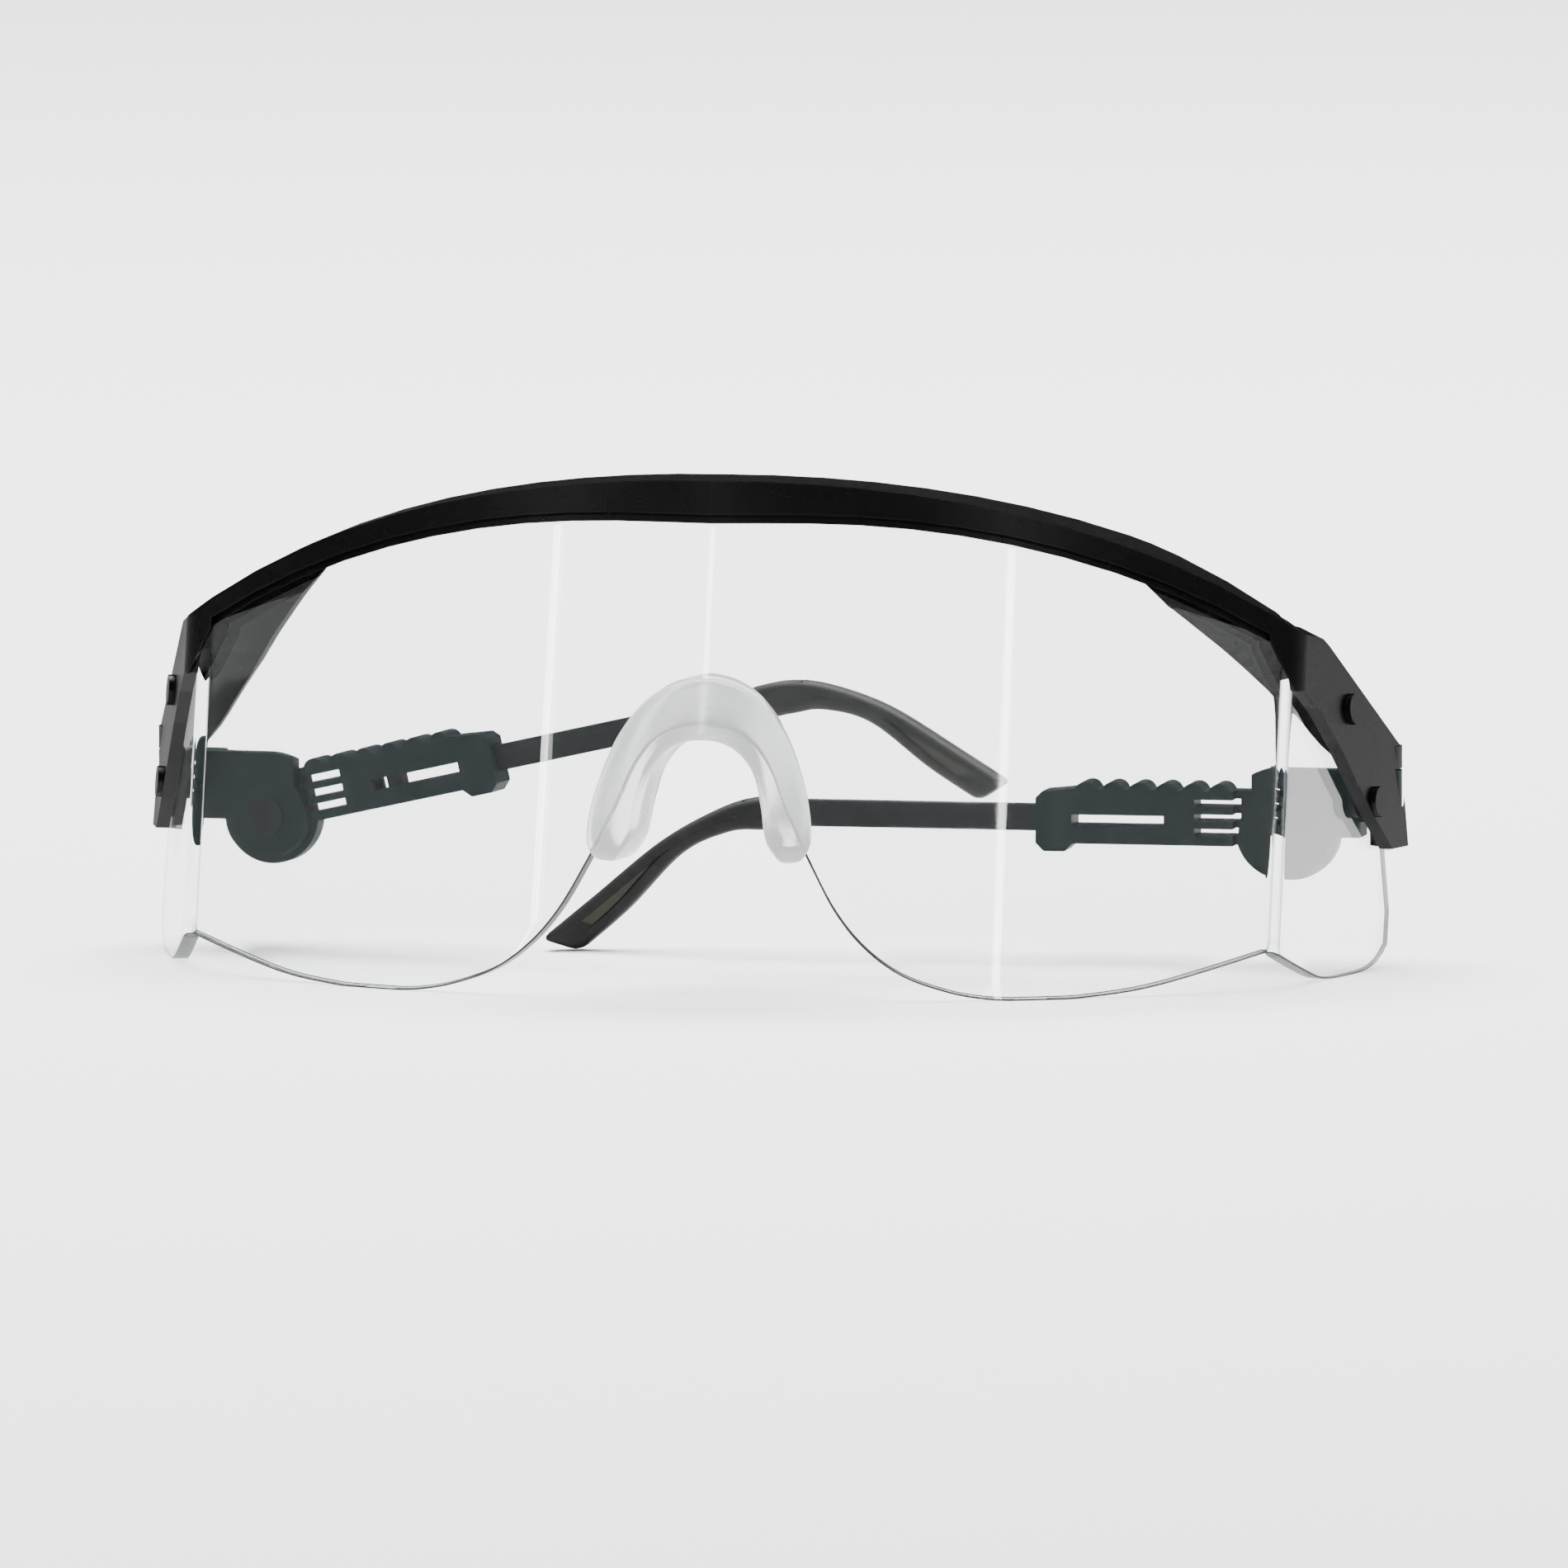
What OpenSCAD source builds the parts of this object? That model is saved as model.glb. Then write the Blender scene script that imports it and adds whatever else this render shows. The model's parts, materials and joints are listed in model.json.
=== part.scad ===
// Wraparound safety glasses, standing on the lower edge of the lens with both temples folded.
// +X is the wearer's left seen from the front, the front faces -Y, and Z = 0 is the table.

/* [Lens] */
// Half width of the lens, out to the crease at each side
crease_x = 68; // [64:1:70]
// How far the crease lies behind the ridge over the nose
wrap_depth = 25.9; // [22:0.1:28]
// Radius of each lobe's front face
lobe_r = 150; // [130:5:200]
// Outer radius of the crease
crease_r = 4; // [3:0.5:5]
// Thickness of the lens
lens_t = 2; // [1.8:0.1:2.4]
// How far the lens leans back
lean = 16; // [12:1:18]
// Angle of each side shield from straight back
shield_flare = 16.4; // [14:0.1:18]

/* [Brow guard] */
// Height of the brow's top at the middle
brow_top = 62.6; // [60:0.1:66]
// How far the front lip stands proud of the lens
lip_t = 1.6; // [1:0.1:2]
// How far the stepped lower edge of the lip stands proud of the lens
step_t = 0.9; // [0.6:0.1:0.9]
// How far the brow shelf reaches back from the front face of the lens
shelf_depth = 7.5; // [5:0.5:9]
// Height of the brow bar at the middle
bar_h = 5.2; // [4.6:0.1:6.4]
// Height of the brow bar near its ends
bar_end_h = 3.4; // [3.2:0.1:4]

/* [Fold hinge] */
// Half of the distance between the two hinge pins
pin_x = 75.4; // [75:0.1:76]
// Radius of the hinge pin
pin_r = 0.9; // [0.8:0.05:1.1]
// Radius of the hinge knuckles
knuckle_r = 2.6; // [2.4:0.1:2.8]
// Radial clearance of every turning bore
running_gap = 0.05; // [0.02:0.01:0.09]

/* [Temples] */
// Fold of the left temple past square, towards the lens
fold_left = 8; // [7:0.5:9]
// Fold of the right temple past square
fold_right = -1; // [-2:0.5:0]
// Tilt of the left temple above level
tilt_left = 13; // [12:0.5:14]
// Distance from the hinge pin to the tilt rivet
tilt_x = 12.5; // [12:0.1:13]
// Height of the tilt rivet
tilt_z = 16; // [15.5:0.1:16.5]
// How far the left slider is pulled out of its arm
slide_left = 4; // [0:0.5:5]
// Distance from the hinge pin to the open end of the arm
arm_end = 43; // [41:0.5:44]
// Thickness of the arm
arm_t = 5; // [4.6:0.1:5.4]
// Thickness of the slider
slider_t = 2.4; // [2:0.1:2.8]
// Thickness of the ear pad
pad_t = 3.6; // [3.2:0.1:4.2]
// Inward curve of the ear pad at its end
pad_curve = 5; // [3:0.5:6]

/* [Hidden] */

LEFT = -1;
RIGHT = 1;
$fn = 96;

// The origin is under the middle of the bounding box, this far behind the lens datum.
mid_y = 24.2;
pin_y = 51.5;
reach = 200;

// Lens plan, in the leaned frame: each lobe is an arc from the ridge to the crease.
ridge = [0, -11.5];
crease = [crease_x, ridge.y + wrap_depth];
chord = crease - ridge;
chord_mid = (ridge + crease) / 2;
lobe_c = chord_mid + [-chord.y, chord.x] / norm(chord) * sqrt(pow(lobe_r, 2) - pow(norm(chord) / 2, 2));
shield_dir = [sin(shield_flare), cos(shield_flare)];
shield_in = [-shield_dir.y, shield_dir.x];
// Centre of the crease radius, tangent to the lobe and to the side shield.
crease_w = crease + crease_r * shield_in - lobe_c;
crease_s = -crease_w * shield_dir
  - sqrt(pow(crease_w * shield_dir, 2) - crease_w * crease_w + pow(lobe_r - crease_r, 2));
crease_c = lobe_c + crease_w + crease_s * shield_dir;
lobe_end_a = atan2(crease_c.y - lobe_c.y, crease_c.x - lobe_c.x);
shield_len = 60;
// The two lobes run this far into each other at the ridge.
ridge_lap = 0.05;

// How far from the middle the bar swells, and the height of its stepped edge.
bar_swell = 22;
step_h = 1.1;

// Corner webs: where they leave the lobe and the side shield, and the wall's thickness.
web_x = 50;
web_s = 24;
web_t = 1.6;

// Hinge heights, from the bottom knuckle to the top one.
knuckle_z = [14.6, 17.4, 24.2, 27];
hinge_gap = 0.2;
pin_head_r = 1.5;
barrel_clear = 0.3;

// Rivets of the side shield: distance behind the crease and height, in the leaned frame.
rivet_spots = [[13.5, 42], [22, 32]];
rivet_r = 1;
rivet_head_r = 1.9;
rivet_head_t = 0.7;

// Tilt joint: the block's lobe is on the inner side, the arm's disc on the outer side.
tilt_r = 1.3;
tilt_head_r = 2.4;
tilt_head_t = 0.6;
lobe_disc_r = 5.2;
arm_disc_r = 6;
lap_gap = 0.05;
block_top = 24;
block_bottom = 15.6;
block_full_x = 6;
// How far the block's shoulder runs past the tilt rivet; the arm's sleeve swings beyond it.
block_shoulder = 3.6;

// Arm and slider, along the temple from the hinge pin.
sleeve_x = 18.4;
sleeve_z = [14.2, 21];
collar_x = 39.4;
collar_z = [13.2, 20.6];
slider_x = [24.6, 80];
slider_z = [15.6, 18.8];
slide_gap = 0.15;
window_x = [27, 38.5];
window_z = [16.4, 17.8];
bend_x = 78;
pad_x = 73;
pad_tip_x = 105;

function curve(p, t) =
  0.5 * (2 * p[1] + (p[2] - p[0]) * t + (2 * p[0] - 5 * p[1] + 4 * p[2] - p[3]) * t * t
  + (3 * p[1] - p[0] - 3 * p[2] + p[3]) * t * t * t);
function at(list, i) = list[min(max(i, 0), len(list) - 1)];
// A smooth line through every point of the list.
function smooth(list, steps = 4) = concat(
  [for (i = [0:len(list) - 2], k = [0:steps - 1])
    curve([at(list, i - 1), list[i], list[i + 1], at(list, i + 2)], k / steps)],
  [list[len(list) - 1]]);
function back(list) = [for (i = [len(list) - 1:-1:0]) list[i]];
// The mirror image of a line, so that the two join up: flip runs back, and across starts at X = 0.
function flip(list) = [for (p = back(list)) [-p.x, p.y]];
function across(list) = concat(flip([for (i = [1:len(list) - 1]) list[i]]), list);
function ray(a) = [cos(a), sin(a)];
function brow_z(x) = brow_top - 15.5 * pow(x / 73, 2) - 6.6 * pow(x / 73, 4);
// A point of the lens plan, `in` behind its outer face: across a lobe, or along a side shield.
function lobe_point(x, in) = let (c = (x - lobe_c.x) / lobe_r)
  lobe_c + (lobe_r - in) * [c, -sqrt(1 - c * c)];
function shield_point(s, in) = crease_c + (crease_r - in) * ray(-shield_flare) + s * shield_dir;
function bar_low_z(x) = brow_z(x) - bar_end_h - (bar_h - bar_end_h) / (1 + pow(x / bar_swell, 2));

module to_origin() {
  translate([0, -mid_y, 0]) children();
}

module both_sides() {
  children();
  mirror([1, 0, 0]) children();
}

module leaned() {
  rotate([-lean, 0, 0]) children();
}

// A front outline (X, Z) pushed through the whole depth.
module front_prism() {
  translate([0, reach / 2, 0]) rotate([90, 0, 0]) linear_extrude(reach) children();
}

// A side outline (Y, Z) pushed through the whole width.
module side_prism() {
  rotate([90, 0, 90]) translate([0, 0, -reach / 2]) linear_extrude(reach) children();
}

module ring(outer, inner) {
  difference() {
    circle(outer, $fn = 180);
    circle(inner, $fn = 180);
  }
}

// The lobe's plan from the ridge to the crease, from `out` in front of the face to `in` behind it.
module lobe_plan(out, in) {
  intersection() {
    translate(lobe_c) ring(lobe_r + out, lobe_r - in);
    polygon([lobe_c, lobe_c + 2 * lobe_r * ray(-95), lobe_c + 2 * lobe_r * ray(lobe_end_a)]);
    translate([-ridge_lap, -reach / 2]) square(reach);
  }
}

module crease_plan(out, in) {
  translate(crease_c) intersection() {
    ring(crease_r + out, crease_r - in);
    polygon([[0, 0], 20 * ray(lobe_end_a), 20 * ray(-shield_flare)]);
  }
}

module shield_plan(out, in) {
  polygon([shield_point(0, in), shield_point(0, -out),
    shield_point(shield_len, -out), shield_point(shield_len, in)]);
}

module wrap_solid(out, in) {
  leaned() translate([0, 0, -20]) linear_extrude(110) both_sides() {
    lobe_plan(out, in);
    crease_plan(out, in);
    shield_plan(out, in);
  }
}

module web_solid() {
  leaned() translate([0, 0, -20]) linear_extrude(110) both_sides() children();
}

module lobe_solid(out, in) {
  leaned() translate([0, 0, -20]) linear_extrude(110) both_sides() lobe_plan(out, in);
}

// Lens outline from the front: nose cut-out, flat rest under each lobe, arch inside the brow guard.
module lens_front() {
  nose = [[0, 33.2], [4.8, 32], [8.2, 28.4], [10.8, 22.4], [14.2, 15.8], [17.2, 10.6], [20.8, 6.4],
    [25.4, 3.1], [31, 1.05], [35, 0.25], [38, 0]];
  lobe = concat(smooth([[43, 0], [47, 0.15], [55, 1.3], [crease_x, 5]]), [[crease_x + 0.5, -1], [90, -1]]);
  arch = [for (x = [90:-6:-90]) [x, brow_z(min(abs(x), 72)) - 2.2]];
  polygon(concat(smooth(across(nose)), lobe, arch, flip(lobe)));
}

// Lens outline from the side: it bounds the side shield.
module lens_side() {
  polygon(concat(
    [[-40, -1], [13, -1]],
    smooth([[16, 4.6], [23, 2], [28, 0.4], [32, 0]]),
    smooth([[38, 0], [41, 0.2], [44.4, 1], [47.4, 2.8], [48.4, 4.6], [48.6, 7]]),
    [[48.6, 24.5], [34, 37], [27, 45], [22, 70], [-40, 70]]));
}

module lens_body() {
  intersection() {
    wrap_solid(0, lens_t);
    front_prism() lens_front();
    side_prism() lens_side();
  }
}

// Shank and two heads of the rivets that hold a side shield in its black tail.
module rivet_set(side, shank, head) {
  for (spot = rivet_spots)
    mirror([side == LEFT ? 1 : 0, 0, 0]) leaned()
      translate([each shield_point(spot.x, 0), spot.y])
        rotate([0, 90, -shield_flare]) {
          translate([0, 0, -lens_t - 0.1]) cylinder(r = shank, h = lens_t + lip_t + 0.2);
          if (head > 0) {
            translate([0, 0, -lens_t - head]) cylinder(r = rivet_head_r, h = head);
            translate([0, 0, lip_t]) cylinder(r = rivet_head_r, h = head);
          }
        }
}

module at_pin(side) {
  translate([side * pin_x, pin_y, 0]) mirror([side == RIGHT ? 1 : 0, 0, 0]) children();
}

module lens() {
  color([0.93, 0.96, 0.97, 0.3]) to_origin() difference() {
    lens_body();
    rivet_set(LEFT, rivet_r, 0);
    rivet_set(RIGHT, rivet_r, 0);
  }
}

module bar_outline() {
  arch = [for (x = [-78:6:78]) [x, brow_z(min(abs(x), 74))]];
  corner = [[78, 35], [69, 36]];
  lower = [for (x = [66:-6:-66]) [x, bar_low_z(x)]];
  intersection() {
    front_prism() polygon(concat(arch, corner, lower, flip(corner)));
    side_prism() polygon([[-40, 80], [-40, 20], [27, 35.4], [30, 80]]);
  }
}

// Outline of the tails that run back and down along the side shields to the hinges.
module tail_outline() {
  intersection() {
    front_prism() both_sides()
      polygon([[60, 10], [90, 10], [90, brow_z(74)], [72, brow_z(72)], [60, brow_z(60)]]);
    side_prism() polygon([[26, 60], [30, 43.4], [34, 40.8], [pin_y, 27], [pin_y, 14.6],
      [47, 14.6], [43, 18.7], [39, 23.2], [34.3, 28.9], [30, 33.2], [26, 36]]);
  }
}

// Bar and tails are one band around the lens; the bar also has a shelf over the edge of each lobe.
module brow_band() {
  step = [for (x = [66:-6:-66]) [x, bar_low_z(x) + step_h]];
  difference() {
    union() {
      intersection() {
        wrap_solid(lip_t, 0);
        union() {
          bar_outline();
          tail_outline();
        }
      }
      intersection() {
        lobe_solid(step_t / 2, shelf_depth);
        bar_outline();
      }
    }
    // The lip steps back along its lower edge.
    intersection() {
      wrap_solid(lip_t + 1, -step_t);
      front_prism() polygon(concat(step, [[-66, 20], [66, 20]]));
    }
  }
}

// The black web behind the lens in each upper corner: a roof, and a wall that hangs down to the hinge.
module brow_webs() {
  near = lobe_point(web_x, shelf_depth);
  far = shield_point(web_s, 3.2);
  outward = [far.y - near.y, near.x - far.x] / norm(far - near) * web_t;
  top = [[10, 54], [22, 49], [30, 43.4], [34, 40.8], [50, 28.2]];
  low = smooth([[50, 49.9], [53.8, 46], [57, 42.4], [59.4, 39.6], [64.3, 33.1], [68.2, 27.6], [71, 24.9]], 3);
  intersection() {
    union() {
      intersection() {
        web_solid() polygon([lobe_point(web_x, 1), lobe_point(66.5, 1), shield_point(1, 1),
          shield_point(web_s, 1), far, near]);
        side_prism() polygon(concat(top, [[50, 25.2], [34, 37.6], [22, 46], [10, 51]]));
      }
      intersection() {
        web_solid() polygon([near, far, far + outward, near + outward]);
        side_prism() polygon(concat(top, [[50, 20], [10, 20]]));
      }
    }
    front_prism() both_sides() polygon(concat(low, [[80, 24.9], [80, brow_z(74)]],
      [for (x = [72:-6:48]) [x, brow_z(x) - 0.5]]));
  }
}

module knuckles() {
  for (z = [knuckle_z[0], knuckle_z[2]])
    translate([0, 0, z]) cylinder(r = knuckle_r, h = knuckle_z[1] - knuckle_z[0]);
}

module brow_guard() {
  color([0.06, 0.06, 0.07]) to_origin() difference() {
    union() {
      difference() {
        union() {
          brow_band();
          brow_webs();
        }
        for (side = [LEFT, RIGHT]) at_pin(side) translate([0, 0, knuckle_z[1]])
          cylinder(r = knuckle_r + barrel_clear, h = knuckle_z[2] - knuckle_z[1]);
      }
      for (side = [LEFT, RIGHT]) at_pin(side) knuckles();
    }
    lens_body();
    rivet_set(LEFT, rivet_r, rivet_head_t);
    rivet_set(RIGHT, rivet_r, rivet_head_t);
    for (side = [LEFT, RIGHT]) at_pin(side) {
      cylinder(r = pin_r, h = 40);
      translate([0, 0, knuckle_z[3]]) cylinder(r = pin_head_r + 0.1, h = 4);
    }
  }
}

// Soft clear saddle around the nose cut-out, with a leg down each side.
module nose_pad() {
  inner = [[0, 31.4], [3.6, 30.6], [6.3, 27.8], [7.6, 23.6], [8.4, 19.4], [10.4, 16.6]];
  outer = [[0, 38.8], [5.6, 37.2], [10, 32.4], [12.9, 25.4], [13.8, 19.6], [12.6, 16.8]];
  color([0.95, 0.96, 0.96, 0.6]) to_origin() difference() {
    intersection() {
      lobe_solid(0.9, shelf_depth);
      front_prism() polygon(concat(smooth(across(inner)), back(smooth(across(outer)))));
    }
    lens_body();
  }
}

module lens_rivets(side) {
  color([0.1, 0.1, 0.11]) to_origin() rivet_set(side, rivet_r, rivet_head_t);
}

module hinge_pin(side) {
  color([0.75, 0.75, 0.77]) to_origin() at_pin(side) translate([0, 0, knuckle_z[0] - 0.5]) {
    cylinder(r = pin_r, h = knuckle_z[3] - knuckle_z[0] + 1);
    cylinder(r = pin_head_r, h = 0.5);
    translate([0, 0, knuckle_z[3] - knuckle_z[0] + 0.5]) cylinder(r = pin_head_r, h = 0.5);
  }
}

// A piece of the temple: x runs along it from the hinge pin, +y is its outer side.
module folded(side) {
  to_origin() at_pin(side) rotate([0, 0, side == LEFT ? -fold_left : -fold_right]) children();
}

module tilted(side) {
  folded(side) translate([tilt_x, 0, tilt_z]) rotate([0, side == LEFT ? -tilt_left : 0, 0])
    translate([-tilt_x, 0, -tilt_z]) children();
}

// A side outline (x, z) of the temple, between two depths.
module slab(y0, y1) {
  translate([0, y1, 0]) rotate([90, 0, 0]) linear_extrude(y1 - y0) children();
}

module box(x, y, z) {
  translate([x[0], y[0], z[0]]) cube([x[1] - x[0], y[1] - y[0], z[1] - z[0]]);
}

module hinge_block(side) {
  half = arm_t / 2;
  low = knuckle_z[1] + hinge_gap;
  color([0.1, 0.13, 0.14]) folded(side) difference() {
    union() {
      translate([0, 0, low]) cylinder(r = knuckle_r, h = block_top - low);
      box([0, block_full_x], [-half + 0.1, half - 0.1], [low, block_top]);
      box([3.4, block_full_x], [-half + 0.1, half - 0.1], [block_bottom, block_top]);
      box([3.4, tilt_x], [-half + 0.1, -lap_gap], [block_bottom, block_top]);
      slab(-half + 0.1, -lap_gap) translate([tilt_x, tilt_z]) circle(lobe_disc_r);
      slab(-half + 0.1, -lap_gap) translate([tilt_x, tilt_z]) intersection() {
        circle(block_top - tilt_z);
        square([block_shoulder, 20]);
      }
    }
    translate([0, 0, 10]) cylinder(r = pin_r + running_gap, h = 20);
    slab(-half, half) translate([tilt_x, tilt_z]) circle(tilt_r);
  }
}

module tilt_rivet(side) {
  half = arm_t / 2;
  color([0.55, 0.56, 0.58]) folded(side) {
    slab(-half + 0.1, half) translate([tilt_x, tilt_z]) circle(tilt_r);
    slab(-half + 0.1 - tilt_head_t, -half + 0.1) translate([tilt_x, tilt_z]) circle(tilt_head_r);
    slab(half, half + tilt_head_t) translate([tilt_x, tilt_z]) circle(tilt_head_r);
  }
}

// Side outline of the arm: finger ridges along the top and a deeper collar at its open end.
module arm_outline() {
  ridge_n = 6;
  ridge_w = (collar_x - sleeve_x - 1) / ridge_n;
  polygon([[sleeve_x, sleeve_z[0]], [collar_x - 1, sleeve_z[0]], [collar_x, collar_z[0]],
    [arm_end - 1, collar_z[0]], [arm_end, collar_z[0] + 1], [arm_end, collar_z[1] - 0.8],
    [arm_end - 0.8, collar_z[1]], [collar_x - 1, sleeve_z[1]], [sleeve_x, sleeve_z[1]]]);
  for (i = [0:ridge_n - 1]) translate([sleeve_x + (i + 0.5) * ridge_w, sleeve_z[1] - 0.5])
    circle(1.4);
}

module temple_arm(side) {
  half = arm_t / 2;
  color([0.1, 0.13, 0.14]) tilted(side) difference() {
    union() {
      slab(-half, half) arm_outline();
      slab(lap_gap, half) {
        translate([tilt_x, tilt_z]) circle(arm_disc_r);
        translate([tilt_x, sleeve_z[0]]) square([sleeve_x + 0.5 - tilt_x, sleeve_z[1] - sleeve_z[0]]);
      }
    }
    box([slider_x[0] - 0.4, arm_end + 1], [-slider_t / 2 - slide_gap, slider_t / 2 + slide_gap],
      [slider_z[0] - slide_gap, slider_z[1] + slide_gap]);
    box(window_x, [-half - 1, half + 1], window_z);
    for (z = [15.4, 17.2, 19]) box([sleeve_x - 0.6, 23.2], [-half - 1, half + 1], [z, z + 0.9]);
    slab(-half, half + 1) translate([tilt_x, tilt_z]) circle(tilt_r + running_gap);
  }
}

module slider_body(x_end) {
  box([slider_x[0], x_end], [-slider_t / 2, slider_t / 2], slider_z);
}

module temple_slider(side) {
  color([0.07, 0.08, 0.09]) tilted(side) translate([side == LEFT ? slide_left : 0, 0, 0]) difference() {
    slider_body(slider_x[1]);
    box([window_x[0] - 0.5, window_x[1]], [-slider_t, slider_t], [window_z[0] + 0.1, window_z[1] - 0.1]);
  }
}

// Plan of the ear pad: straight over the slider, then curved towards the head.
module pad_plan() {
  run = pad_tip_x - bend_x;
  bend_r = pow(run, 2) / (2 * pad_curve) + pad_curve / 2;
  translate([pad_x - 1, -pad_t / 2]) square([bend_x - pad_x + 1, pad_t]);
  translate([bend_x, -bend_r]) intersection() {
    ring(bend_r + pad_t / 2, bend_r - pad_t / 2);
    square(2 * bend_r);
  }
}

module pad_outline() {
  upper = smooth([[pad_x, 19.3], [78, 19.2], [83, 17.7], [90.2, 13.6], [98.4, 6.7], [pad_tip_x - 0.6, 1.6]]);
  lower = smooth([[98.6, 0.7], [94.2, 5], [88.9, 10.8], [83, 14.4], [78, 15.1], [pad_x, 15.1]]);
  polygon(concat(upper, smooth([[pad_tip_x, 0.8], [pad_tip_x - 0.8, 0]]), [[99.6, 0]], lower));
}

module ear_pad(side) {
  color([0.16, 0.17, 0.17]) tilted(side) translate([side == LEFT ? slide_left : 0, 0, 0]) difference() {
    intersection() {
      translate([0, 0, -5]) linear_extrude(40) pad_plan();
      slab(-20, 20) pad_outline();
    }
    slider_body(slider_x[1]);
  }
}

lens();
brow_guard();
nose_pad();
lens_rivets(LEFT);  // lens_rivets_left
lens_rivets(RIGHT);  // lens_rivets_right
hinge_pin(LEFT);  // hinge_pin_left
hinge_pin(RIGHT);  // hinge_pin_right
hinge_block(LEFT);  // hinge_block_left
hinge_block(RIGHT);  // hinge_block_right
tilt_rivet(LEFT);  // tilt_rivet_left
tilt_rivet(RIGHT);  // tilt_rivet_right
temple_arm(LEFT);  // temple_arm_left
temple_arm(RIGHT);  // temple_arm_right
temple_slider(LEFT);  // temple_slider_left
temple_slider(RIGHT);  // temple_slider_right
ear_pad(LEFT);  // ear_pad_left
ear_pad(RIGHT);  // ear_pad_right
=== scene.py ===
import json
import math

import bmesh
import bpy
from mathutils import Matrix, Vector


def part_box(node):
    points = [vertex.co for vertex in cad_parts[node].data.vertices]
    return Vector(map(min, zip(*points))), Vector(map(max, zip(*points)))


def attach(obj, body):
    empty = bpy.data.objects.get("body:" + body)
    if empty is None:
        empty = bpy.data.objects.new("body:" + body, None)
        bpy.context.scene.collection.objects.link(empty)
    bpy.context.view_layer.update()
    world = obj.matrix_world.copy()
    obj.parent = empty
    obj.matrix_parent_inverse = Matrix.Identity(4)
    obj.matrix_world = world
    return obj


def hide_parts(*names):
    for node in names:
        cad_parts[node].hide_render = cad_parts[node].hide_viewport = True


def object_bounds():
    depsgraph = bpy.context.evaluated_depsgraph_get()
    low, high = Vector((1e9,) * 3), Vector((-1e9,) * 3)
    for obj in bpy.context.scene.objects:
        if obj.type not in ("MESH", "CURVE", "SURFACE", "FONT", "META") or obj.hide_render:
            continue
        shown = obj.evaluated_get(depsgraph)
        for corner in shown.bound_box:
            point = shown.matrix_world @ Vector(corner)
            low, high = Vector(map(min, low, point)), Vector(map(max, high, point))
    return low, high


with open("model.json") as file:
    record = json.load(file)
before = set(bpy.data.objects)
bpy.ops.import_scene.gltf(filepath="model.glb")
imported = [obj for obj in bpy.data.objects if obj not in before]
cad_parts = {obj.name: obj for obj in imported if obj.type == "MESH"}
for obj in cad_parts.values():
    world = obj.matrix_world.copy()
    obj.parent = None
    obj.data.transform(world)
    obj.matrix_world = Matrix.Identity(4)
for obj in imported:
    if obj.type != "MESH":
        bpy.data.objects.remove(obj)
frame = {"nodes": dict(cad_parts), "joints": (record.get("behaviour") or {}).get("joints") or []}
cad_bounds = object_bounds()

# ---------------------------------------------------------------- dimensions
# Millimetres, in the lens datum frame; row() turns a point of it into metres in the row frame.
MM = 0.001
SIDES = ("left", "right")

LEAN = math.radians(16)        # of the lens, backwards
LOBE_R = 150.0                 # of each lobe's arc in plan
CREASE_X = 68.0                # from the middle to the corner between lobe and side shield
RIDGE_Y = -11.5                # the ridge over the nose, in plan
RIDGE_ROUND = 1.6              # half the width of the rounding on the ridge
WRAP_DEPTH = 25.9              # from the ridge back to the corner
CREASE_R = 4.0                 # of the rounding at that corner
FLARE = math.radians(16.4)     # of the side shields, outwards
LENS_T = 2.0
SHIELD_END_Y = 48.6
PIN_Y = 51.5
BROW_HALF = 73                 # where the brow's two drops below its top are counted
BROW_DROP_2, BROW_DROP_4 = 15.5, 6.6
BROW_REACH = 72                # the furthest x at which the brow's line is asked for
LENS_TOP_GAP = 2.2             # from the brow's top edge down to the lens's

BROW_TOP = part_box("brow_guard")[1][2] / MM
# The hinge pin's place in the row frame says where the lens datum's zero depth is in it.
pin_low, pin_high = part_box("hinge_pin_left")
MID_Y = PIN_Y - (pin_low[1] + pin_high[1]) / 2 / MM


def row(x, y, z):
    return Vector((x * MM, (y - MID_Y) * MM, z * MM))


# ---------------------------------------------------------------- curves
def catmull(points, steps):
    """A smooth line through the points (a Catmull-Rom spline)."""
    out = []
    for i in range(len(points) - 1):
        p = [points[min(max(k, 0), len(points) - 1)] for k in range(i - 1, i + 3)]
        for s in range(steps):
            t = s / steps
            out.append(tuple(
                0.5 * (2 * p[1][a] + (p[2][a] - p[0][a]) * t
                       + (2 * p[0][a] - 5 * p[1][a] + 4 * p[2][a] - p[3][a]) * t * t
                       + (3 * p[1][a] - p[0][a] - 3 * p[2][a] + p[3][a]) * t ** 3)
                for a in range(len(p[0]))))
    out.append(tuple(points[-1]))
    return out


def lookup(line, x):
    """The height of a left-to-right line at x."""
    if x <= line[0][0]:
        return line[0][1]
    for (x0, z0), (x1, z1) in zip(line, line[1:]):
        if x <= x1:
            return z0 + (z1 - z0) * (x - x0) / (x1 - x0) if x1 > x0 else z1
    return line[-1][1]


def brow_z(x):
    """The height of the brow's top edge at x."""
    share = x / BROW_HALF
    return BROW_TOP - BROW_DROP_2 * share ** 2 - BROW_DROP_4 * share ** 4


def smoothstep(t):
    t = max(0.0, min(1.0, t))
    return t * t * (3 - 2 * t)


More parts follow.
